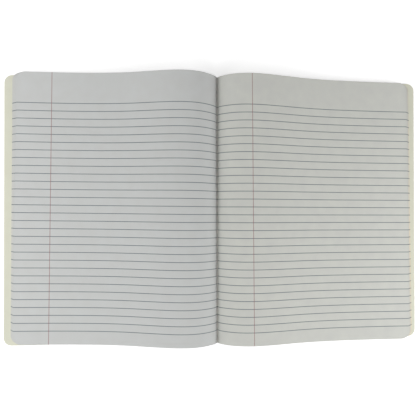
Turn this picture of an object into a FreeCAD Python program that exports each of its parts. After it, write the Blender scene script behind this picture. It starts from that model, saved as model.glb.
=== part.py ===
"""Open composition notebook, lying flat and opened at its middle sheet.

Millimetres. X runs across the spread, Y up the page, Z up from the table.
The origin is under the fold at the middle of the page height.
"""
import os

import FreeCAD
import Part

# Page block
PAGE_HEIGHT = 247.65
LEAVES_PER_SIDE = 50
LEAF_THICKNESS = 0.08
LEFT_REACH = 183.2
RIGHT_REACH = 185.2
LOWEST_LEAF_REACH = 188.6
LEAF_GROUPS = 7
CORNER_RADIUS = 7.0
CUTTER_MARGIN = 2.0

# How high the spread stands above the boards
FOLD_HEIGHT = 5.6
LEFT_CREST = 19.1
RIGHT_CREST = 17.0

# How far the fore-edges lie askew along the fold
LEFT_SKEW = 2.2
RIGHT_SKEW = -0.9

# Boards and tape
BOARD_THICKNESS = 0.9
BOARD_REACH = 195.0
SPINE_WIDTH = 9.0
TAPE_THICKNESS = 0.25
TAPE_WING_WIDTH = 28.0
SPINE_CLEARANCE = 0.3

# Sewing in the fold
THREAD_THICKNESS = 0.7
GROOVE_DEPTH = 1.0
STITCH_COUNT = 37
STITCH_RISE = 0.3
STITCH_DIP = 0.55

# Worked out from the sizes above
STACK = LEAVES_PER_SIDE * LEAF_THICKNESS
GROUP = STACK / LEAF_GROUPS
BOARD_TOP = TAPE_THICKNESS + BOARD_THICKNESS
HALF_HEIGHT = PAGE_HEIGHT / 2
HINGE_X = SPINE_WIDTH / 2

# The wave of an open page: share of the page's reach, share of its rise
WAVE = (
    (0.0065, 0.210),
    (0.013, 0.325),
    (0.029, 0.480),
    (0.050, 0.650),
    (0.080, 0.825),
    (0.118, 0.952),
    (0.162, 1.000),
    (0.216, 0.958),
    (0.281, 0.821),
    (0.356, 0.630),
    (0.448, 0.395),
    (0.557, 0.210),
    (0.682, 0.095),
    (0.830, 0.025),
)

# A gap between two leaf groups spans these stations of the wave
GAP_START = 0
GAP_END = 12

# One stitch along Y: share of its length, share of its rise above the fold
STITCH = ((0.0, -1.0), (0.12, 0.3), (0.3, 1.0), (0.7, 1.0), (0.88, 0.3))


def point(x, z, y=0.0):
    """Return a vector from the section's coordinates."""
    return FreeCAD.Vector(x, y, z)


def spline(points):
    """Return an edge that runs smoothly through the points."""
    curve = Part.BSplineCurve()
    curve.interpolate(points)
    return curve.toShape()


def slanted(side, reach, skew, x, z):
    """Return the point at x from the fold, on the slightly slanted tail edge."""
    return point(side * x, z, skew * x / reach - HALF_HEIGHT)


def group_end(group, reach):
    """Return how far from the fold a leaf group's fore-edge stands."""
    share = group / (LEAF_GROUPS - 1)
    return LOWEST_LEAF_REACH + share * (reach - LOWEST_LEAF_REACH)


def half_outline(side, reach, crest, skew):
    """Return the closed section of the leaves on one side of the fold."""
    top = [(0, FOLD_HEIGHT)]
    for along, rise in WAVE:
        top.append((along * reach, BOARD_TOP + STACK + rise * (crest - STACK)))
    top.append((reach, BOARD_TOP + STACK))
    rest = []
    for group in reversed(range(LEAF_GROUPS)):
        rest.append((group_end(group, reach), BOARD_TOP + (group + 1) * GROUP))
        rest.append((group_end(group, reach), BOARD_TOP + group * GROUP))
    foot = HINGE_X - SPINE_CLEARANCE
    rest += [(foot, BOARD_TOP), (foot, TAPE_THICKNESS), (0, TAPE_THICKNESS), top[0]]
    upper = [slanted(side, reach, skew, x, z) for x, z in top]
    lower = [slanted(side, reach, skew, x, z) for x, z in rest]
    return Part.Wire([spline(upper)] + Part.makePolygon(lower).Edges)


def gap_outline(side, reach, crest, skew, group):
    """Return the crescent of air between a leaf group and the next one."""
    level = (group + 1) / LEAF_GROUPS
    across = group_end(group + 0.5, reach)
    lower = []
    upper = []
    for index in range(GAP_START, GAP_END + 1):
        along, rise = WAVE[index]
        air = rise * (crest - STACK) / (LEAF_GROUPS - 1)
        low = BOARD_TOP + level * STACK + group * air
        high = low + air
        if index in (GAP_START, GAP_END):
            low = high = (low + high) / 2
        lower.append(slanted(side, reach, skew, along * across, low))
        upper.append(slanted(side, reach, skew, along * across, high))
    return Part.Wire([spline(lower), spline(upper)])


def corner_waste(inner, side, end, height):
    """Return what lies outside the arc that starts on an edge at the inner point."""
    centre = inner - point(0, 0, end * CORNER_RADIUS)
    size = CORNER_RADIUS + CUTTER_MARGIN
    low = point(
        min(centre.x, centre.x + side * size), centre.z,
        min(centre.y, centre.y + end * size))
    waste = Part.makeBox(size, size, height, low)
    return waste.cut(Part.makeCylinder(CORNER_RADIUS, height, centre))


def make_half_block(side, reach, crest, skew):
    """Return the leaves of one side of the fold, fanned by crescents of air."""
    gaps = []
    for group in range(LEAF_GROUPS - 1):
        gaps.append(Part.Face(gap_outline(side, reach, crest, skew, group)))
    section = Part.Face(half_outline(side, reach, crest, skew)).cut(gaps)
    half = section.extrude(point(0, 0, PAGE_HEIGHT))
    waste = []
    for group in range(LEAF_GROUPS):
        inner = slanted(
            side, reach, skew, group_end(group, reach) - CORNER_RADIUS,
            BOARD_TOP + group * GROUP)
        head = inner + point(0, 0, PAGE_HEIGHT)
        waste.append(corner_waste(inner, side, -1, GROUP))
        waste.append(corner_waste(head, side, 1, GROUP))
    return half.cut(waste)


def make_page_block():
    """Return all the leaves as one solid, with a sewing groove along the fold."""
    left = make_half_block(-1, LEFT_REACH, LEFT_CREST, LEFT_SKEW)
    right = make_half_block(1, RIGHT_REACH, RIGHT_CREST, RIGHT_SKEW)
    groove = Part.makeBox(
        THREAD_THICKNESS, PAGE_HEIGHT + STACK, GROOVE_DEPTH + STACK,
        point(-THREAD_THICKNESS / 2, FOLD_HEIGHT - GROOVE_DEPTH,
              -HALF_HEIGHT - STACK / 2))
    return left.fuse(right).cut(groove).Solids[0]


def make_thread():
    """Return the sewing in the fold, one raised stitch after another."""
    pitch = PAGE_HEIGHT / STITCH_COUNT
    points = [point(0, FOLD_HEIGHT - GROOVE_DEPTH, -HALF_HEIGHT)]
    for stitch in range(STITCH_COUNT):
        for along, rise in STITCH:
            scale = STITCH_RISE if rise > 0 else STITCH_DIP
            y = -HALF_HEIGHT + (stitch + along) * pitch
            points.append(point(0, FOLD_HEIGHT + rise * scale, y))
    points.append(point(0, FOLD_HEIGHT - STITCH_DIP, HALF_HEIGHT))
    points.append(point(0, FOLD_HEIGHT - GROOVE_DEPTH, HALF_HEIGHT))
    points.append(points[0])
    face = Part.Face(Part.makePolygon(points))
    thread = face.extrude(point(THREAD_THICKNESS, 0))
    thread.translate(point(-THREAD_THICKNESS / 2, 0))
    return thread


def make_board(side):
    """Return one cover board, its two fore-edge corners rounded."""
    width = BOARD_REACH - HINGE_X
    low_x = min(side * HINGE_X, side * BOARD_REACH)
    board = Part.makeBox(
        width, PAGE_HEIGHT, BOARD_THICKNESS,
        point(low_x, TAPE_THICKNESS, -HALF_HEIGHT))
    cutters = []
    for end in (-1, 1):
        inner = point(
            side * (BOARD_REACH - CORNER_RADIUS), TAPE_THICKNESS, end * HALF_HEIGHT)
        cutters.append(corner_waste(inner, side, end, BOARD_THICKNESS))
    return board.cut(cutters).Solids[0]


def make_tape(low_x, width):
    """Return one strip of the spine tape, as tall as the boards."""
    return Part.makeBox(
        width, PAGE_HEIGHT, TAPE_THICKNESS, point(low_x, 0, -HALF_HEIGHT))


def main():
    """Build every node and write its file."""
    nodes = {
        "page_block": make_page_block(),
        "binding_thread": make_thread(),
        "front_cover": make_board(-1),
        "back_cover": make_board(1),
        "spine_tape_middle": make_tape(-HINGE_X, SPINE_WIDTH),
        "spine_tape_front_wing": make_tape(
            -HINGE_X - TAPE_WING_WIDTH, TAPE_WING_WIDTH),
        "spine_tape_back_wing": make_tape(HINGE_X, TAPE_WING_WIDTH),
    }
    os.makedirs("parts", exist_ok=True)
    for name, shape in nodes.items():
        shape.exportStep("parts/" + name + ".step")
        print(name, shape.isValid(), round(shape.Volume, 1))


main()
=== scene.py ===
"""Looks of an open composition notebook: ruled leaves, sewing, boards and spine tape.

Metres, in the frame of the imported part: X across the spread, Y up the page, Z up
from the table, with the origin under the fold at the middle of the page height.
"""
from __future__ import annotations

import logging
import math
from collections.abc import Callable, Sequence
from dataclasses import dataclass
from enum import Enum

import bmesh
import bpy
from mathutils import Matrix, Vector

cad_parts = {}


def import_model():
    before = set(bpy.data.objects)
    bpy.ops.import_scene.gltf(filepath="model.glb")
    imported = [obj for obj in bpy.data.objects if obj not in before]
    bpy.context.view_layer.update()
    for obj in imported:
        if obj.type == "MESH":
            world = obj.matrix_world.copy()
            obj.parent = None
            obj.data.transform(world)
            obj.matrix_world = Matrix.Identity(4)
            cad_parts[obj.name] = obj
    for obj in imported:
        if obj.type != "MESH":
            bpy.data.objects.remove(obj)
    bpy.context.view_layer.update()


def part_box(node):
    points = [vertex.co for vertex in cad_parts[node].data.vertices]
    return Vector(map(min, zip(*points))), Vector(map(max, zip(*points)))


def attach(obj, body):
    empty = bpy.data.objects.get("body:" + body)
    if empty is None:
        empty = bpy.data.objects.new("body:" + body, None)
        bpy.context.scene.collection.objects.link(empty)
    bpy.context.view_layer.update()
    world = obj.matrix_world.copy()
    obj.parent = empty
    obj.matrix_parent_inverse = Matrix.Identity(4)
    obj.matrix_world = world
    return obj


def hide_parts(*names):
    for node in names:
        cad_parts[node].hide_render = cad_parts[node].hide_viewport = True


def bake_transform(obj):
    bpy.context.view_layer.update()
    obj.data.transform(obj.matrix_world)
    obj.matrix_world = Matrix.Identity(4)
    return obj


MM = 0.001
PLACE = "page_place"
SHARE = "leaf_share"
FULL_TURN = 2 * math.pi
CORNER_STEPS = 8
LOG = logging.getLogger("notebook")

Colour = tuple[float, float, float]
Point = tuple[float, float, float]


class Side(Enum):
    """The two halves of the spread, by the sign of their X."""

    FRONT = -1
    BACK = 1

    @property
    def word(self) -> str:
        """The side's name as the pieces and bodies spell it."""
        return self.name.lower()


def from_srgb(red: float, green: float, blue: float) -> Colour:
    """Turn a colour of 0 to 255 a channel into the linear light that nodes use.

    Args:
        red: Red, 0 to 255.
        green: Green, 0 to 255.
        blue: Blue, 0 to 255.

    Returns:
        The linear colour, 0 to 1 a channel.
    """
    linear = []
    for channel in (red, green, blue):
        share = channel / 255
        if share <= 0.04045:
            linear.append(share / 12.92)
        else:
            linear.append(((share + 0.055) / 1.055) ** 2.4)
    return linear[0], linear[1], linear[2]


class Value:
    """A number that varies over a surface: a socket that does Python arithmetic."""

    def __init__(self, tree: bpy.types.NodeTree, socket: bpy.types.NodeSocket) -> None:
        """Keep the tree that new nodes go in, and the socket with the number."""
        self.tree = tree
        self.socket = socket

    def math(self, operation: str, *others: Value | float, first: bool = True) -> Value:
        """Add one Math node.

        Args:
            operation: The node's operation.
            others: The other operands, numbers or values.
            first: Whether this value is the first operand, and not the second.

        Returns:
            The node's result.
        """
        node = self.tree.nodes.new("ShaderNodeMath")
        node.operation = operation
        operands = [self, *others] if first else [*others, self]
        for socket, operand in zip(node.inputs, operands):
            if isinstance(operand, Value):
                self.tree.links.new(operand.socket, socket)
            else:
                socket.default_value = operand
        return Value(self.tree, node.outputs[0])

    def __add__(self, other: Value | float) -> Value:
        """Return self + other."""
        return self.math("ADD", other)

    def __sub__(self, other: Value | float) -> Value:
        """Return self - other."""
        return self.math("SUBTRACT", other)

    def __rsub__(self, other: float) -> Value:
        """Return other - self."""
        return self.math("SUBTRACT", other, first=False)

    def __mul__(self, other: Value | float) -> Value:
        """Return self * other."""
        return self.math("MULTIPLY", other)

    def __truediv__(self, other: Value | float) -> Value:
        """Return self / other."""
        return self.math("DIVIDE", other)

    __radd__ = __add__

    def size(self) -> Value:
        """Return the value without its sign."""
        return self.math("ABSOLUTE")

    def sine(self) -> Value:
        """Return the sine of the value in radians."""
        return self.math("SINE")

    def wrapped(self, period: float) -> Value:
        """Return the distance to the nearest multiple of period, with its sign."""
        return self.math("WRAP", period / 2, -period / 2)

    def above(self, limit: float) -> Value:
        """Return 1 where the value is over the limit, and 0 elsewhere."""
        return self.math("GREATER_THAN", limit)

    def below(self, limit: float) -> Value:
        """Return 1 where the value is under the limit, and 0 elsewhere."""
        return self.math("LESS_THAN", limit)

    def ramp(self, start: float, end: float) -> Value:
        """Return 0 up to start, 1 from end on, and a smooth rise between them."""
        node = self.tree.nodes.new("ShaderNodeMapRange")
        node.interpolation_type = "SMOOTHSTEP"
        self.tree.links.new(self.socket, node.inputs["Value"])
        node.inputs["From Min"].default_value = start
        node.inputs["From Max"].default_value = end
        return Value(self.tree, node.outputs["Result"])


class NodePlan:
    """Adds nodes to a tree, each from its type, settings and inputs."""

    def __init__(self, tree: bpy.types.NodeTree) -> None:
        """Keep the tree."""
        self.tree = tree

    def node(self, kind: str, settings: dict | None = None,
             inputs: dict | None = None) -> bpy.types.Node:
        """Add one node.

        Args:
            kind: The node's type.
            settings: The node's own settings, set before its inputs.
            inputs: Values or links by socket name or number.

        Returns:
            The new node.
        """
        node = self.tree.nodes.new(kind)
        for name, setting in (settings or {}).items():
            setattr(node, name, setting)
        for key, given in (inputs or {}).items():
            source = given.socket if isinstance(given, Value) else given
            if isinstance(source, bpy.types.NodeSocket):
                self.tree.links.new(source, node.inputs[key])
            else:
                node.inputs[key].default_value = source
        return node

    def value(self, socket: bpy.types.NodeSocket) -> Value:
        """Return the socket as a value for arithmetic."""
        return Value(self.tree, socket)

    def split(self, vector: bpy.types.NodeSocket) -> tuple[Value, Value, Value]:
        """Return the three parts of a vector socket."""
        parts = self.node("ShaderNodeSeparateXYZ", inputs={0: vector})
        return tuple(self.value(socket) for socket in parts.outputs)

    def joined(self, x: Value | float, y: Value | float,
               z: Value | float) -> bpy.types.NodeSocket:
        """Return a vector socket made of three parts."""
        return self.node("ShaderNodeCombineXYZ", inputs={0: x, 1: y, 2: z}).outputs[0]


class SurfacePlan(NodePlan):
    """Builds one material around a Principled shader."""

    def __init__(self, name: str) -> None:
        """Make the material with an empty tree and an output."""
        self.material = bpy.data.materials.new(name)
        self.material.use_nodes = True
        super().__init__(self.material.node_tree)
        self.tree.nodes.clear()
        self.output = self.node("ShaderNodeOutputMaterial")

    def place(self) -> bpy.types.NodeSocket:
        """Return the place on the piece, in metres."""
        return self.node("ShaderNodeTexCoord").outputs["Object"]

    def noise(self, vector: bpy.types.NodeSocket, grain: float,
              detail: float = 2.0) -> Value:
        """Return noise whose features are about as wide as grain.

        Args:
            vector: The place to read.
            grain: Width of a feature, in metres.
            detail: How many finer layers are added.

        Returns:
            The noise, about 0 to 1.
        """
        node = self.node("ShaderNodeTexNoise", inputs={
            "Vector": vector, "Scale": 1 / grain, "Detail": detail})
        return self.value(node.outputs[0])

    def mix(self, share: Value | float, first: Colour | bpy.types.NodeSocket,
            second: Colour | bpy.types.NodeSocket) -> bpy.types.NodeSocket:
        """Return the colour that lies at share between first and second."""
        shown = [c if isinstance(c, bpy.types.NodeSocket) else (*c, 1.0)
                 for c in (first, second)]
        node = self.node("ShaderNodeMix", {"data_type": "RGBA"}, {
            0: share, 6: shown[0], 7: shown[1]})
        return node.outputs[2]

    def bump(self, height: Value, depth: float) -> bpy.types.NodeSocket:
        """Return a normal that follows a height of 0 to 1, depth metres deep."""
        node = self.node("ShaderNodeBump", inputs={
            "Height": height, "Distance": depth})
        return node.outputs[0]

    def finish(self, colour: bpy.types.NodeSocket, roughness: Value | float,
               normal: bpy.types.NodeSocket, specular: float) -> bpy.types.Material:
        """Join the shader to the output.

        Args:
            colour: The base colour.
            roughness: The roughness.
            normal: The normal from the bump.
            specular: The specular level, the same all over.

        Returns:
            The finished material.
        """
        shader = self.node("ShaderNodeBsdfPrincipled", inputs={
            "Base Color": colour, "Roughness": roughness, "Normal": normal,
            "Specular IOR Level": specular})
        self.tree.links.new(shader.outputs[0], self.output.inputs[0])
        return self.material


@dataclass(frozen=True)
class Ruling:
    """The lines printed on a page, in metres from its top edge and its fold."""

    first_line: float = 28.28 * MM
    pitch: float = 7.144 * MM
    count: int = 30
    line_width: float = 0.62 * MM
    softness: float = 0.14 * MM
    margin_width: float = 0.5 * MM
    front_margin: float = 157.3 * MM
    back_margin: float = 35.6 * MM
    back_lean: float = -0.0075

    def stroke(self, distance: Value, width: float) -> Value:
        """Return how much ink lies at a distance from the middle of a line.

        Args:
            distance: The distance, without its sign.
            width: The line's width.

        Returns:
            1 in the line and 0 beside it, with a soft edge between them.
        """
        half = width / 2
        return 1 - distance.ramp(half - self.softness, half + self.softness)

    def lines(self, down: Value) -> Value:
        """Return the ink of all the ruled lines at a distance from the page's top."""
        from_line = (down - self.first_line).wrapped(self.pitch).size()
        low = self.first_line - self.pitch / 2
        high = low + self.count * self.pitch
        line = self.stroke(from_line, self.line_width)
        return line * down.above(low) * down.below(high)

    def margin(self, side: Side, along: Value, up: Value) -> Value:
        """Return the ink of the margin line.

        Args:
            side: The page's side. The print of the back page leans a little.
            along: The distance from the fold.
            up: The place along the fold, from the middle of the page.

        Returns:
            The ink, 0 to 1.
        """
        middle = self.front_margin
        if side is Side.BACK:
            middle = up * self.back_lean + self.back_margin
        return self.stroke((along - middle).size(), self.margin_width)


@dataclass(frozen=True)
class RuledPaper:
    """Thin matt writing paper with pale lines and one margin line.

    The material reads its place on the flat leaf, and the leaf's share of the stack,
    from the mesh. So the print bends with the page, and each leaf has its own tint.
    """

    side: Side
    page_top: float
    ruling: Ruling = Ruling()
    # One paper in two tints: the front half's cooler tint and the back half's lighter,
    # warmer tint are painted light that differs between the two halves.
    front_paper: Colour = from_srgb(209, 211, 210)
    back_paper: Colour = from_srgb(215, 216, 209)
    shade: Colour = from_srgb(203, 203, 200)
    line_ink: Colour = from_srgb(112, 124, 128)
    margin_ink: Colour = from_srgb(158, 112, 112)
    aged: Colour = from_srgb(230, 220, 198)
    cloud_grain: float = 9 * MM
    fibre_grain: float = 0.5 * MM
    cloud_tint: float = 0.9
    leaf_tint: float = 0.8
    mean_tint: float = 0.4
    line_cover: float = 0.78
    margin_cover: float = 0.7
    ink_grain: float = 0.35
    worn_from: float = 183 * MM
    worn_to: float = 186 * MM
    front_wear: float = 0.3
    back_wear: float = 1.7
    wear_depth: float = 0.75
    patch_start: float = 0.35
    patch_end: float = 0.65
    relief: float = 0.02 * MM

    def wear(self, plan: SurfacePlan, along: Value, up: Value, share: Value) -> Value:
        """Return how aged the paper is, in patches at the fore-edge of lower leaves."""
        patch = plan.noise(plan.joined(share * 8.0, up * 22.0, 0.5), 1.0, 1.0)
        edge = along.ramp(self.worn_from, self.worn_to) * (self.wear_depth - share)
        wear = self.front_wear if self.side is Side.FRONT else self.back_wear
        return edge * patch.ramp(self.patch_start, self.patch_end) * wear

    def build(self) -> bpy.types.Material:
        """Return the paper of one half of the spread."""
        plan = SurfacePlan(f"ruled_paper_{self.side.word}")
        source = plan.node("ShaderNodeAttribute", {"attribute_name": PLACE})
        along, up, share = plan.split(source.outputs["Vector"])
        # The share of the stack moves each noise on from leaf to leaf
        cloud = plan.noise(plan.joined(along, up, share * 2.0), self.cloud_grain, 3.0)
        fibre = plan.noise(
            plan.joined(along, up * 1.6, share * 40.0), self.fibre_grain, 4.0)
        leaf = plan.noise(plan.joined(share * 90.0, 0.3, 0.7), 1.0, 0.0)
        tint = (cloud - 0.5) * self.cloud_tint + (leaf - 0.5) * self.leaf_tint
        # Painted light: each half of the spread takes its own tint of the same paper.
        white = self.front_paper if self.side is Side.FRONT else self.back_paper
        colour = plan.mix(tint + self.mean_tint, white, self.shade)
        colour = plan.mix(self.wear(plan, along, up, share), colour, self.aged)
        grain = fibre * self.ink_grain
        line = self.ruling.lines(self.page_top - up) * (self.line_cover + grain)
        colour = plan.mix(line, colour, self.line_ink)
        margin = self.ruling.margin(self.side, along, up) * (self.margin_cover + grain)
        colour = plan.mix(margin, colour, self.margin_ink)
        normal = plan.bump(fibre * 0.6 + cloud * 0.4, self.relief)
        return plan.finish(colour, 0.9, normal, specular=0.25)


@dataclass(frozen=True)
class CoverBoard:
    """Grey board with marbled paper outside and plain cream paper inside.

    The two papers lie at the heights inside_at and outside_at, and are skin thick.
    """

    inside_at: float
    outside_at: float
    inside: Colour = from_srgb(229, 230, 213)
    inside_shade: Colour = from_srgb(222, 221, 202)
    core: Colour = from_srgb(168, 160, 142)
    ink: Colour = from_srgb(22, 22, 24)
    ground: Colour = from_srgb(226, 226, 220)
    skin: float = 0.06 * MM
    speck_grain: float = 0.35 * MM
    cream_grain: float = 14 * MM
    relief: float = 0.03 * MM
    blot_size: float = 7.5 * MM
    fleck_size: float = 2.4 * MM
    swirl: float = 11 * MM
    vein_start: float = 0.87
    vein_end: float = 0.9

    def build(self) -> bpy.types.Material:
        """Return the finish of a cover board."""
        plan = SurfacePlan("cover_board")
        across, up, height = plan.split(plan.place())
        flat = plan.joined(across, up, 0.0)
        is_inside = height.above(self.inside_at - self.skin)
        is_outside = height.below(self.outside_at + self.skin)
        speck = plan.noise(flat, self.speck_grain, 3.0)
        cloud = plan.noise(flat, self.cream_grain, 3.0)
        cream = plan.mix(cloud, self.inside, self.inside_shade)
        marble = plan.mix(self.veins(plan, flat), self.ground, self.ink)
        core = plan.mix(speck, self.core, self.inside_shade)
        colour = plan.mix(is_inside, core, cream)
        colour = plan.mix(is_outside, colour, marble)
        normal = plan.bump(speck, self.relief)
        rough = 0.82 - is_outside * 0.3
        return plan.finish(colour, rough, normal, specular=0.3)

    def veins(self, plan: SurfacePlan, flat: bpy.types.NodeSocket) -> Value:
        """Return the share of black in the marbling, from warped rounded cells."""
        x, y, _ = plan.split(flat)
        sway_x = plan.noise(flat, self.swirl, 3.0) - 0.5
        sway_y = plan.noise(plan.joined(y, x, 0.4), self.swirl, 3.0) - 0.5
        warped = plan.joined(x + sway_x * self.swirl, y + sway_y * self.swirl, 0.0)
        cells = plan.node("ShaderNodeTexVoronoi", {"feature": "SMOOTH_F1"}, {
            "Vector": warped, "Scale": 1 / self.blot_size, "Smoothness": 0.35})
        blot = plan.value(cells.outputs["Distance"])
        fleck = plan.noise(warped, self.fleck_size, 4.0)
        return 1 - (blot * 0.75 + fleck * 0.9).ramp(self.vein_start, self.vein_end)


@dataclass(frozen=True)
class BookCloth:
    """Black cloth tape: a fine plain weave, a little worn."""

    thread: float = 0.42 * MM
    dark: Colour = from_srgb(24, 24, 26)
    light: Colour = from_srgb(58, 58, 60)
    wear_grain: float = 5 * MM
    relief: float = 0.05 * MM

    def build(self) -> bpy.types.Material:
        """Return the finish of the spine tape."""
        plan = SurfacePlan("spine_cloth")
        place = plan.place()
        across, up, _ = plan.split(place)
        turn = FULL_TURN / self.thread
        weave = (across * turn).sine() * (up * turn).sine() * 0.5 + 0.5
        wear = plan.noise(place, self.wear_grain, 4.0)
        colour = plan.mix(weave * 0.5 + wear * 0.35, self.dark, self.light)
        normal = plan.bump(weave, self.relief)
        return plan.finish(colour, 0.72 + wear * 0.15, normal, specular=0.35)


@dataclass(frozen=True)
class SewingThread:
    """White twisted thread, a little darker between its strands, which is painted shade
    in the grooves.
    """

    light: Colour = from_srgb(238, 235, 228)
    # dark is both the painted shade between the strands and the darker side of the real
    # dust.
    dark: Colour = from_srgb(206, 201, 193)
    twist: float = 0.5 * MM
    lean: float = 1.4
    dust_grain: float = 1.5 * MM
    relief: float = 0.06 * MM

    def build(self) -> bpy.types.Material:
        """Return the finish of the thread."""
        plan = SurfacePlan("sewing_thread")
        across, up, height = plan.split(plan.place())
        turn = FULL_TURN / self.twist
        strand = ((up + across * self.lean) * turn).sine() * 0.5 + 0.5
        dust = plan.noise(plan.joined(across, up, height), self.dust_grain)
        # Painted shade between the strands, mixed with real dust.
        colour = plan.mix(strand * 0.6 + dust * 0.4, self.dark, self.light)
        normal = plan.bump(strand, self.relief)
        return plan.finish(colour, 0.85, normal, specular=0.3)


def is_seen(plan: NodePlan) -> Value:
    """Return 1 for a ray that shows a thing, straight or in metal or glass, else 0."""
    path = plan.node("ShaderNodeLightPath")
    seen = plan.value(path.outputs["Is Camera Ray"])
    for ray in ("Is Glossy Ray", "Is Transmission Ray"):
        seen = seen.math("MAXIMUM", plan.value(path.outputs[ray]))
    return seen


@dataclass(frozen=True)
class TableTop:
    """Plain white paper sweep under the book."""

    colour: Colour = from_srgb(246, 246, 246)
    lift: float = 0.5

    def build(self) -> bpy.types.Material:
        """Return the floor's finish, which looks a little lighter than it lights."""
        plan = SurfacePlan("table_top")
        seen = is_seen(plan)
        diffuse = plan.node("ShaderNodeBsdfDiffuse", inputs={"Color": (*self.colour, 1)})
        glow = plan.node("ShaderNodeEmission", inputs={
            "Color": (1, 1, 1, 1), "Strength": seen * self.lift})
        both = plan.node("ShaderNodeAddShader", inputs={
            0: diffuse.outputs[0], 1: glow.outputs[0]})
        plan.tree.links.new(both.outputs[0], plan.output.inputs[0])
        return plan.material


class GeometryPlan(NodePlan):
    """Builds one Geometry Nodes tree and turns its result into a plain mesh."""

    SOCKETS = {
        "object": "NodeSocketObject",
        "float": "NodeSocketFloat",
        "int": "NodeSocketInt",
        "material": "NodeSocketMaterial",
    }

    def __init__(self, name: str, sizes: dict[str, tuple[str, object]]) -> None:
        """Make the tree with its named inputs.

        Args:
            name: The tree's name.
            sizes: Socket kind and value of each named input.
        """
        super().__init__(bpy.data.node_groups.new(name, "GeometryNodeTree"))
        self.sizes = sizes
        face = self.tree.interface
        face.new_socket("Geometry", in_out="OUTPUT", socket_type="NodeSocketGeometry")
        self.keys = {}
        for label, (kind, _) in sizes.items():
            made = face.new_socket(
                label, in_out="INPUT", socket_type=self.SOCKETS[kind])
            self.keys[label] = made.identifier
        self.given = self.node("NodeGroupInput")

    def input(self, label: str) -> Value:
        """Return a named input as a value."""
        return self.value(self.given.outputs[label])

    def shape_of(self, label: str) -> bpy.types.NodeSocket:
        """Return the geometry of a named input object."""
        source = self.node("GeometryNodeObjectInfo", inputs={"Object": self.input(label)})
        return source.outputs["Geometry"]

    def placed(self, points: bpy.types.NodeSocket,
               instance: bpy.types.NodeSocket) -> bpy.types.NodeSocket:
        """Return an instance at each of the points."""
        node = self.node("GeometryNodeInstanceOnPoints", inputs={
            "Points": points, "Instance": instance})
        return node.outputs[0]

    def close(self, geometry: bpy.types.NodeSocket) -> None:
        """Dress the geometry, make its instances real and join it to the output."""
        real = self.node("GeometryNodeRealizeInstances", inputs={0: geometry})
        dressed = self.node("GeometryNodeSetMaterial", inputs={
            "Geometry": real.outputs[0], "Material": self.given.outputs["Finish"]})
        output = self.node("NodeGroupOutput")
        self.tree.links.new(dressed.outputs[0], output.inputs[0])

    def mesh(self, name: str) -> bpy.types.Object:
        """Run the tree once and keep its result as a plain mesh object.

        Args:
            name: The new piece's name.

        Returns:
            The piece, with no modifier left on it.
        """
        host = add_object(f"{name}_host", bpy.data.meshes.new(f"{name}_host"))
        modifier = host.modifiers.new("grow", "NODES")
        modifier.node_group = self.tree
        for label, (_, given) in self.sizes.items():
            modifier[self.keys[label]] = given
        graph = bpy.context.evaluated_depsgraph_get()
        made = bpy.data.meshes.new_from_object(
            host.evaluated_get(graph), preserve_all_data_layers=True, depsgraph=graph)
        bpy.data.objects.remove(host)
        made.name = name
        return add_object(name, made)


def add_object(name: str, data: bpy.types.ID) -> bpy.types.Object:
    """Put new object data into the scene under a name."""
    made = bpy.data.objects.new(name, data)
    bpy.context.scene.collection.objects.link(made)
    return made


def add_mesh(name: str, build: Callable[[bmesh.types.BMesh], None]) -> bpy.types.Object:
    """Add a mesh object that a function fills.

    Args:
        name: The object's name.
        build: The function that adds the faces.

    Returns:
        The object, with its normals pointing outwards.
    """
    shape = bmesh.new()
    build(shape)
    bmesh.ops.recalc_face_normals(shape, faces=shape.faces)
    mesh = bpy.data.meshes.new(name)
    shape.to_mesh(mesh)
    shape.free()
    return add_object(name, mesh)


def bridge(shape: bmesh.types.BMesh, near: Sequence[bmesh.types.BMVert],
           far: Sequence[bmesh.types.BMVert]) -> None:
    """Join two closed rings of points with a band of faces.

    Args:
        shape: The mesh.
        near: The points of one ring.
        far: The matching points of the other ring.
    """
    for index in range(len(near)):
        after = (index + 1) % len(near)
        shape.faces.new((near[index], near[after], far[after], far[index]))


def corner_turns() -> list[float]:
    """Return the angles at which a rounded corner has its points, up to a quarter."""
    return [step / CORNER_STEPS * math.pi / 2 for step in range(CORNER_STEPS + 1)]


@dataclass(frozen=True)
class PageShape:
    """How the leaves lie on one side of the fold.

    Attributes:
        reach: How far from the fold the top leaf ends.
        low_reach: How far from the fold the lowest leaf ends.
        crest: How high the wave stands over the board.
        skew: How far the fore-edge has slipped along the fold.
        top_pull: The share by which the top leaf's head is drawn in to the fold.
        low_pull: The share by which the lowest leaf's head is drawn in.
    """

    reach: float
    low_reach: float
    crest: float
    skew: float
    top_pull: float
    low_pull: float


PAGE_SHAPES = {
    Side.FRONT: PageShape(
        reach=183.2 * MM, low_reach=188.2 * MM, crest=19.1 * MM, skew=2.2 * MM,
        top_pull=0.009, low_pull=0.003),
    Side.BACK: PageShape(
        reach=185.2 * MM, low_reach=190.5 * MM, crest=17.0 * MM, skew=-0.9 * MM,
        top_pull=0.005, low_pull=0.006),
}


@dataclass(frozen=True)
class BookSizes:
    """The sizes that the pieces share, most of them read from the frame."""

    page_height: float
    board_reach: float
    board_bottom: float
    board_top: float
    hinge: float
    wing_reach: float
    corner: float = 7.0 * MM
    fold_height: float = 5.6 * MM
    stack: float = 4.0 * MM
    leaves: int = 50
    stitches: int = 37

    @classmethod
    def from_frame(cls) -> BookSizes:
        """Read the sizes that the frame's pieces show."""
        board_low, board_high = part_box("back_cover")
        _, wing_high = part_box("spine_tape_back_wing")
        return cls(
            page_height=board_high.y - board_low.y,
            board_reach=board_high.x,
            board_bottom=board_low.z,
            board_top=board_high.z,
            hinge=board_low.x,
            wing_reach=wing_high.x,
        )


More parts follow.
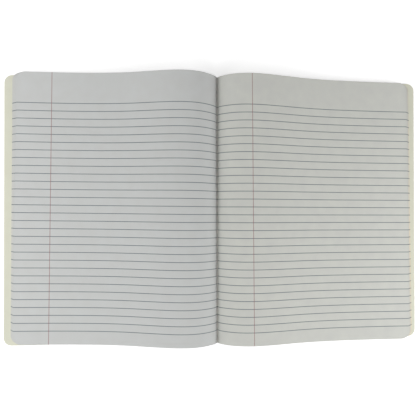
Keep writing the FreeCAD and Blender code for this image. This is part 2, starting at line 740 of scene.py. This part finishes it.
class LeafStack:
    """All the leaves on one side of the fold, each a sheet of its own.

    Attributes:
        WAVE: The section of the open page, in shares of its reach and of its rise.
        LEAF_THICKNESS: A little less than a leaf's room in the stack.
        SETTLE: How far the lowest leaf stands off the board.
        FIRST_STEP: The step between the first two stations across a leaf.
        STEP_GROWTH: How much a step grows with its distance from the fold.
        FINE_STEP: The widest step up to FINE_REACH, where the page bends most.
        WIDE_STEP: The widest step beyond it, up to CORNER_LEAD before the corner.
        ROWS: The stations along the fold, in shares of half the height.
        HEAD_RISE: How much higher the wave stands at the head than in the middle.
        CLUMPING: How close together the leaves of each of the GROUPS keep.
        SWAY: How far the leaves leave their even places in the stack.
        SWAY_SCALE: How fast the sway changes across a leaf and through the stack.
        EDGE_PLAY: How far the leaves slip along the fold.
    """

    WAVE = (
        (0.0065, 0.190), (0.013, 0.315), (0.029, 0.478), (0.050, 0.650),
        (0.080, 0.825), (0.118, 0.952), (0.162, 1.000), (0.216, 0.958),
        (0.281, 0.821), (0.356, 0.630), (0.448, 0.395), (0.557, 0.210),
        (0.682, 0.095), (0.830, 0.025), (1.000, 0.000),
    )
    LEAF_WIDTH = 188.3 * MM
    LEAF_THICKNESS = 0.066 * MM
    SETTLE = 0.02 * MM
    FIRST_STEP = 0.35 * MM
    STEP_GROWTH = 0.11
    FINE_STEP = 2.6 * MM
    FINE_REACH = 95 * MM
    WIDE_STEP = 8 * MM
    CORNER_LEAD = 9 * MM
    ROWS = (-1.0, -0.5, 0.0, 0.5, 1.0)
    HEAD_RISE = 0.12
    GROUPS = 7.0
    CLUMPING = 0.8
    SWAY = 0.05
    SWAY_SCALE = (3.0, 9.0)
    EDGE_PLAY = 0.35 * MM
    SEED = 11

    def __init__(self, sizes: BookSizes, side: Side) -> None:
        """Keep the shared sizes and the side."""
        self.sizes = sizes
        self.side = side
        self.pages = PAGE_SHAPES[side]

    def top_guide(self) -> list[Point]:
        """Return the points of the top leaf's section, from the fold outwards."""
        sizes = self.sizes
        reach = self.side.value * self.pages.reach
        rise = self.pages.crest - sizes.stack
        base = sizes.board_top + sizes.stack - self.LEAF_THICKNESS
        points = [(0.0, 0.0, sizes.fold_height - self.LEAF_THICKNESS)]
        for along, share in self.WAVE:
            points.append((along * reach, 0.0, base + share * rise))
        return points

    def low_guide(self) -> list[Point]:
        """Return the points of the lowest leaf's section, from the fold outwards."""
        sizes = self.sizes
        bottom = sizes.board_bottom + self.SETTLE
        floor = sizes.board_top + self.SETTLE
        stations = (
            (0.0, bottom),
            (0.5 * sizes.hinge, bottom + self.SETTLE),
            (1.1 * sizes.hinge, floor + 4 * self.SETTLE),
            (2.0 * sizes.hinge, floor + 2 * self.SETTLE),
            (0.5 * self.pages.low_reach, floor),
            (self.pages.low_reach, floor),
        )
        return [(self.side.value * x, 0.0, z) for x, z in stations]

    def add_guide(self, name: str, points: Sequence[Point]) -> bpy.types.Object:
        """Add a smooth curve through the points.

        Args:
            name: The curve's name.
            points: The points that it passes through.

        Returns:
            The curve object.
        """
        curve = bpy.data.curves.new(name, "CURVE")
        curve.dimensions = "3D"
        curve.resolution_u = 16
        spline = curve.splines.new("BEZIER")
        spline.bezier_points.add(len(points) - 1)
        for knot, point in zip(spline.bezier_points, points):
            knot.co = point
            knot.handle_left_type = "AUTO"
            knot.handle_right_type = "AUTO"
        return add_object(name, curve)

    def columns(self) -> list[float]:
        """Return the stations across the leaf, closer where it bends or rounds."""
        width = self.LEAF_WIDTH
        corner = self.sizes.corner
        stations = [0.0]
        while stations[-1] < width - corner - self.CORNER_LEAD:
            place = stations[-1]
            widest = self.FINE_STEP if place < self.FINE_REACH else self.WIDE_STEP
            step = self.FIRST_STEP + self.STEP_GROWTH * place
            stations.append(place + min(step, widest))
        for turn in corner_turns():
            stations.append(width - corner + corner * math.sin(turn))
        return stations

    def build_leaf(self, shape: bmesh.types.BMesh) -> None:
        """Add one flat closed leaf with two rounded corners to a mesh."""
        sizes = self.sizes
        grids = []
        for height in (0.0, self.LEAF_THICKNESS):
            grid = []
            for place in self.columns():
                into = max(0.0, place - (self.LEAF_WIDTH - sizes.corner))
                cut = sizes.corner - math.sqrt(max(0.0, sizes.corner ** 2 - into ** 2))
                half = sizes.page_height / 2 - cut
                grid.append([shape.verts.new((place, row * half, height))
                             for row in self.ROWS])
            grids.append(grid)
        rings = []
        for grid in grids:
            for near, far in zip(grid, grid[1:]):
                for row in range(len(near) - 1):
                    face = shape.faces.new(
                        (near[row], far[row], far[row + 1], near[row + 1]))
                    face.smooth = True
            tail = [column[0] for column in grid]
            head = [column[-1] for column in reversed(grid)]
            rings.append(tail + grid[-1][1:-1] + head + grid[0][-2:0:-1])
        bridge(shape, *rings)
        for ring in rings:
            for start, end in zip(ring, ring[1:] + ring[:1]):
                shape.edges.get((start, end)).smooth = False

    def plan_tree(self, leaf: bpy.types.Object, top: bpy.types.Object,
                  low: bpy.types.Object, finish: bpy.types.Material) -> GeometryPlan:
        """Write the tree that stacks copies of the leaf between two guides.

        Args:
            leaf: The flat leaf.
            top: The section of the top leaf.
            low: The section of the lowest leaf.
            finish: The paper.

        Returns:
            The finished tree.
        """
        sizes = self.sizes
        pages = self.pages
        plan = GeometryPlan(f"leaf_stack_{self.side.word}", {
            "Leaf": ("object", leaf),
            "Top Guide": ("object", top),
            "Low Guide": ("object", low),
            "Leaves": ("int", sizes.leaves),
            "Leaf Width": ("float", self.LEAF_WIDTH),
            "Stack": ("float", sizes.stack),
            "Half Height": ("float", sizes.page_height / 2),
            "Stack Top": ("float", sizes.board_top + sizes.stack),
            "Head Rise": ("float", self.HEAD_RISE),
            "Top Pull": ("float", pages.top_pull),
            "Low Pull": ("float", pages.low_pull),
            "Reach": ("float", pages.reach),
            "Skew": ("float", pages.skew),
            "Groups": ("float", self.GROUPS),
            "Clumping": ("float", self.CLUMPING),
            "Sway": ("float", self.SWAY),
            "Edge Play": ("float", self.EDGE_PLAY),
            "Seed": ("int", self.SEED + self.side.value),
            "Finish": ("material", finish),
        })
        share = self.read_share(plan)
        along, up, thick = plan.split(plan.node("GeometryNodeInputPosition").outputs[0])
        part = along / plan.input("Leaf Width")
        upper = self.raised(plan, self.sample(plan, "Top Guide", part), up)
        lower = self.sample(plan, "Low Guide", part)
        level = self.level(plan, share, part, upper, lower)
        bent = plan.node("ShaderNodeMix", {"data_type": "VECTOR"}, {
            0: level, 4: lower, 5: upper})
        x, _, z = plan.split(bent.outputs[1])
        low_pull = plan.input("Low Pull")
        pull = low_pull + (plan.input("Top Pull") - low_pull) * share
        x = x * (1 - pull * up / plan.input("Half Height"))
        slip = self.edge_play(plan, share)
        slip = slip + plan.input("Skew") * x.size() / plan.input("Reach")
        moved = plan.joined(x, up + slip, z + thick)
        place = plan.joined(along, up, share)
        told = plan.node("GeometryNodeStoreNamedAttribute", {
            "data_type": "FLOAT_VECTOR", "domain": "POINT"}, {
            "Geometry": self.copies(plan), "Name": PLACE, "Value": place})
        shaped = plan.node("GeometryNodeSetPosition", inputs={
            "Geometry": told.outputs[0], "Position": moved})
        plan.close(shaped.outputs[0])
        return plan

    @staticmethod
    def copies(plan: GeometryPlan) -> bpy.types.NodeSocket:
        """Return all the flat leaves in one place, each told its share of the stack."""
        count = plan.input("Leaves")
        line = plan.node("GeometryNodeMeshLine", inputs={
            "Count": count, "Offset": (0.0, 0.0, 0.0)})
        index = plan.value(plan.node("GeometryNodeInputIndex").outputs[0])
        marked = plan.node("GeometryNodeStoreNamedAttribute", {
            "data_type": "FLOAT", "domain": "POINT"}, {
            "Geometry": line.outputs[0], "Name": SHARE, "Value": index / (count - 1)})
        placed = plan.placed(marked.outputs[0], plan.shape_of("Leaf"))
        return plan.node("GeometryNodeRealizeInstances", inputs={0: placed}).outputs[0]

    @staticmethod
    def read_share(plan: GeometryPlan) -> Value:
        """Return each leaf's place in the stack, 0 at the board and 1 on top."""
        node = plan.node("GeometryNodeInputNamedAttribute", {"data_type": "FLOAT"}, {
            "Name": SHARE})
        return plan.value(node.outputs["Attribute"])

    @staticmethod
    def sample(plan: GeometryPlan, guide: str, part: Value) -> bpy.types.NodeSocket:
        """Return the point of a guide at a share of its length."""
        node = plan.node("GeometryNodeSampleCurve", {"mode": "FACTOR"}, {
            "Curves": plan.shape_of(guide), "Factor": part})
        return node.outputs["Position"]

    @staticmethod
    def raised(plan: GeometryPlan, upper: bpy.types.NodeSocket,
               up: Value) -> bpy.types.NodeSocket:
        """Return the top guide's point at a place along the fold, higher at the head."""
        head = up / plan.input("Half Height")
        x, _, z = plan.split(upper)
        base = plan.input("Stack Top")
        rise = 1 + head * plan.input("Head Rise")
        return plan.joined(x, 0.0, base + (z - base) * rise)

    def level(self, plan: GeometryPlan, share: Value, part: Value,
              upper: bpy.types.NodeSocket, lower: bpy.types.NodeSocket) -> Value:
        """Return how far a point of a leaf stands between the two guides.

        The paper takes up its own thickness evenly. The air that is left is shared
        out unevenly, so that the leaves lie in loose groups.

        Args:
            plan: The tree.
            share: The leaf's place in the stack.
            part: The point's share of the leaf's width.
            upper: The top guide's point.
            lower: The low guide's point.

        Returns:
            0 on the low guide and 1 on the top guide.
        """
        turns = plan.input("Groups") * FULL_TURN
        clumped = share + (share * turns).sine() * plan.input("Clumping") / turns
        seed = plan.input("Seed")
        across, through = self.SWAY_SCALE
        wave = plan.node("ShaderNodeTexNoise", {"noise_dimensions": "2D"}, {
            "Vector": plan.joined(part * across + seed, share * through, 0.0),
            "Scale": 1.0, "Detail": 1.0})
        middle = share * (1 - share) * 4
        sway = (plan.value(wave.outputs[0]) - 0.5) * plan.input("Sway") * middle
        clumped = clumped + sway
        tall = plan.split(upper)[2] - plan.split(lower)[2]
        paper = (plan.input("Stack") / tall).math("MINIMUM", 1.0)
        return clumped + paper * (share - clumped)

    @staticmethod
    def edge_play(plan: GeometryPlan, share: Value) -> Value:
        """Return how far a leaf has slipped along the fold. The top leaf stays put."""
        random = plan.node("ShaderNodeTexWhiteNoise", {"noise_dimensions": "2D"}, {
            "Vector": plan.joined(share * 97.0, plan.input("Seed"), 0.0)})
        slip = plan.value(random.outputs["Value"]) - 0.5
        return slip * plan.input("Edge Play") * share.below(0.99)

    def build(self) -> bpy.types.Object:
        """Return the finished stack of leaves."""
        name = f"{self.side.word}_leaves"
        finish = RuledPaper(self.side, self.sizes.page_height / 2).build()
        leaf = add_mesh("flat_leaf", self.build_leaf)
        top = self.add_guide("top_guide", self.top_guide())
        low = self.add_guide("low_guide", self.low_guide())
        made = self.plan_tree(leaf, top, low, finish).mesh(name)
        if self.side is Side.FRONT:
            made.data.flip_normals()
        for helper in (leaf, top, low):
            bpy.data.objects.remove(helper)
        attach(made, "pages")
        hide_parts("page_block")
        return made


class Sewing:
    """The row of stitches along the fold.

    A stitch is a Bezier arch, which rises to about three quarters of its handles.

    Attributes:
        RISE: How high a stitch stands over the fold.
        DIP: How far its two ends reach below the fold.
        END_SHARE: How far the ends stand from the middle, as a share of the pitch.
        HANDLE_SHARE: How far the handles stand from it, as a share of the ends.
        HANDLE_RISE: The handles' height, as a share of the rise.
        HANDLE_DROP: What the handles make up for the dip, as a share of it.
    """

    THREAD = 0.9 * MM
    RISE = 1.2 * MM
    DIP = 0.4 * MM
    END_SHARE = 0.44
    HANDLE_SHARE = 0.9
    HANDLE_RISE = 1.4
    HANDLE_DROP = 0.33

    def __init__(self, sizes: BookSizes) -> None:
        """Keep the shared sizes."""
        self.sizes = sizes

    def plan_tree(self, finish: bpy.types.Material) -> GeometryPlan:
        """Return the tree that lays one arched stitch after another."""
        sizes = self.sizes
        plan = GeometryPlan("stitch_row", {
            "Stitches": ("int", sizes.stitches),
            "Row Length": ("float", sizes.page_height),
            "Fold Height": ("float", sizes.fold_height),
            "Thread": ("float", self.THREAD),
            "Rise": ("float", self.RISE),
            "Dip": ("float", self.DIP),
            "Finish": ("material", finish),
        })
        count = plan.input("Stitches")
        pitch = plan.input("Row Length") / count
        first = pitch * 0.5 - plan.input("Row Length") * 0.5
        row = plan.node("GeometryNodeMeshLine", inputs={
            "Count": count,
            "Start Location": plan.joined(0.0, first, plan.input("Fold Height")),
            "Offset": plan.joined(0.0, pitch, 0.0)})
        radius = plan.input("Thread") * 0.5
        low = (plan.input("Dip") + radius) * -1
        high = (plan.input("Rise") - radius) * self.HANDLE_RISE
        high = high - low * self.HANDLE_DROP
        reach = pitch * self.END_SHARE
        shoulder = reach * self.HANDLE_SHARE
        arch = plan.node("GeometryNodeCurvePrimitiveBezierSegment", inputs={
            "Resolution": 12,
            "Start": plan.joined(0.0, reach * -1, low),
            "Start Handle": plan.joined(0.0, shoulder * -1, high),
            "End Handle": plan.joined(0.0, shoulder, high),
            "End": plan.joined(0.0, reach, low)})
        ring = plan.node("GeometryNodeCurvePrimitiveCircle", inputs={
            "Resolution": 8, "Radius": radius})
        stitch = plan.node("GeometryNodeCurveToMesh", inputs={
            "Curve": arch.outputs[0], "Profile Curve": ring.outputs[0],
            "Fill Caps": True})
        plan.close(plan.placed(row.outputs[0], stitch.outputs[0]))
        return plan

    def build(self) -> bpy.types.Object:
        """Return the finished row of stitches."""
        made = self.plan_tree(SewingThread().build()).mesh("fold_sewing")
        made.data.shade_smooth()
        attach(made, "pages")
        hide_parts("binding_thread")
        return made


class Cover:
    """One board and its half of the spine tape."""

    EDGE_WEAR = 0.22 * MM
    BEND_HALF = 1.4 * MM
    BEND_STEP = 0.25 * MM
    BEND_STATIONS = range(-6, 9)
    SPINE_STATIONS = (0.0, 0.3, 0.6)
    WING_STATIONS = (0.2, 0.5, 0.8, 1.0)

    def __init__(self, sizes: BookSizes, side: Side,
                 board: bpy.types.Material, cloth: bpy.types.Material) -> None:
        """Keep the shared sizes, the side and the two finishes."""
        self.sizes = sizes
        self.side = side
        self.board = board
        self.cloth = cloth
        self.body = f"{side.word}_cover"

    def outline(self) -> list[tuple[float, float]]:
        """Return the board's plan, with its two fore-edge corners rounded."""
        sizes = self.sizes
        sign = self.side.value
        half = sizes.page_height / 2
        turns = corner_turns()
        points = []
        for end, arc in ((1, reversed(turns)), (-1, turns)):
            for turn in arc:
                points.append((
                    sizes.board_reach - sizes.corner * (1 - math.cos(turn)),
                    end * (half - sizes.corner * (1 - math.sin(turn)))))
        points.append((sizes.hinge, -half))
        points.append((sizes.hinge, half))
        return [(sign * x, y) for x, y in points]

    def build_board(self, shape: bmesh.types.BMesh) -> None:
        """Add the board's closed slab to a mesh."""
        sizes = self.sizes
        levels = []
        for height in (sizes.board_bottom, sizes.board_top):
            levels.append([shape.verts.new((x, y, height)) for x, y in self.outline()])
        low, high = levels
        shape.faces.new(low)
        shape.faces.new(high)
        bridge(shape, low, high)

    def build_tape(self, shape: bmesh.types.BMesh) -> None:
        """Add this side's half of the tape, fine-meshed at the hinge."""
        sizes = self.sizes
        sign = self.side.value
        half = sizes.page_height / 2
        wing = sizes.wing_reach - sizes.hinge
        steps = [share * sizes.hinge for share in self.SPINE_STATIONS]
        steps += [sizes.hinge + station * self.BEND_STEP
                  for station in self.BEND_STATIONS]
        steps += [sizes.hinge + share * wing for share in self.WING_STATIONS]
        rings = []
        for x in steps:
            rings.append([shape.verts.new((sign * x, y, z)) for y, z in (
                (-half, 0.0), (half, 0.0),
                (half, sizes.board_bottom), (-half, sizes.board_bottom))])
        for near, far in zip(rings, rings[1:]):
            bridge(shape, near, far)
        shape.faces.new(rings[0])
        shape.faces.new(rings[-1])

    def build(self) -> list[bpy.types.Object]:
        """Return the finished board and tape."""
        name = self.side.word
        board = add_mesh(f"{name}_board", self.build_board)
        soften = board.modifiers.new("worn_edge", "BEVEL")
        soften.width = self.EDGE_WEAR
        soften.segments = 2
        soften.limit_method = "ANGLE"
        board.data.materials.append(self.board)
        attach(board, self.body)
        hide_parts(self.body)
        tape = add_mesh(f"{name}_tape", self.build_tape)
        tape.data.materials.append(self.cloth)
        sign = self.side.value
        hinge = self.sizes.hinge
        sign * (hinge - self.BEND_HALF)
        sign * (hinge + self.BEND_HALF)
        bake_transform(tape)
        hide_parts(f"spine_tape_{name}_wing", "spine_tape_middle")
        return [board, tape]


@dataclass(frozen=True)
class Lamp:
    """One soft square lamp that faces the middle of the book."""

    name: str
    place: Point
    power: float
    size: float = 0.3

    def build(self) -> None:
        """Add the lamp to the scene."""
        light = bpy.data.lights.new(self.name, "AREA")
        light.energy = self.power
        light.size = self.size
        lamp = add_object(self.name, light)
        lamp.matrix_world = look_at(self.place, (0.0, 0.0, 0.0))


@dataclass(frozen=True)
class Viewpoint:
    """The photographer's place, aim, roll and lens."""

    place: Point = (-28.3 * MM, -0.43 * MM, 327.0 * MM)
    aim: Point = (-8.1 * MM, 1.73 * MM, 0.0)
    roll: float = -0.07
    lens: float = 29.84
    sensor: float = 36.0
    nearest: float = 0.01

    def build(self) -> None:
        """Add the camera and make it the scene's own."""
        data = bpy.data.cameras.new("viewpoint")
        data.lens = self.lens
        data.sensor_width = self.sensor
        data.clip_start = self.nearest
        camera = add_object("viewpoint", data)
        camera.matrix_world = look_at(self.place, self.aim, self.roll)
        bpy.context.scene.camera = camera


def look_at(place: Point, aim: Point, roll: float = 0.0) -> Matrix:
    """Place something that looks along its own -Z, with +Y up the page.

    Args:
        place: Where it stands.
        aim: The point that it looks at.
        roll: Its turn about its own axis, in degrees.

    Returns:
        Its matrix.
    """
    back = (Vector(place) - Vector(aim)).normalized()
    right = Vector((0, 1, 0)).cross(back).normalized()
    up = back.cross(right)
    turned = Matrix((right, up, back)).transposed().to_4x4()
    turned = turned @ Matrix.Rotation(math.radians(roll), 4, "Z")
    return Matrix.Translation(place) @ turned


class Studio:
    """Floor, lamps, world and camera: what isn't part of the book.

    WORLD is the light that the world sheds. What is seen of it is plain white.
    """

    FLOOR_HALF = 3.0
    FLOOR_DROP = 0.1 * MM
    WORLD = 0.24
    LAMPS = (
        Lamp("left_box", (-0.55, -0.1, 0.22), 1.42),
        Lamp("left_fill", (-0.45, 0.3, 0.35), 0.87),
        Lamp("right_box", (0.55, -0.1, 0.22), 1.9),
        Lamp("front_box", (0.0, -0.5, 0.4), 0.93),
    )

    def build(self) -> None:
        """Add the floor, the light and the camera."""
        half = self.FLOOR_HALF
        mesh = bpy.data.meshes.new("floor")
        outline = ((-half, -half), (half, -half), (half, half), (-half, half))
        mesh.from_pydata([(x, y, -self.FLOOR_DROP) for x, y in outline], [],
                         [(0, 1, 2, 3)])
        floor = add_object("floor", mesh)
        mesh.materials.append(TableTop().build())
        for lamp in self.LAMPS:
            lamp.build()
        world = bpy.data.worlds.new("soft_room")
        world.use_nodes = True
        plan = NodePlan(world.node_tree)
        sky = world.node_tree.nodes["Background"]
        sky.inputs["Color"].default_value = (1.0, 1.0, 1.0, 1.0)
        strength = is_seen(plan) * (1 - self.WORLD) + self.WORLD
        world.node_tree.links.new(strength.socket, sky.inputs["Strength"])
        bpy.context.scene.world = world
        bpy.context.scene.view_settings.view_transform = "Standard"
        Viewpoint().build()


def main() -> None:
    """Build the notebook and its studio."""
    logging.basicConfig(level=logging.INFO, format="%(name)s: %(message)s")
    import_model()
    sizes = BookSizes.from_frame()
    board = CoverBoard(sizes.board_top, sizes.board_bottom).build()
    cloth = BookCloth().build()
    made = [Sewing(sizes).build()]
    for side in Side:
        made.append(LeafStack(sizes, side).build())
        made += Cover(sizes, side, board, cloth).build()
    for piece in made:
        LOG.info("%s: %d faces", piece.name, len(piece.data.polygons))
    Studio().build()


if __name__ == "__main__":
    main()
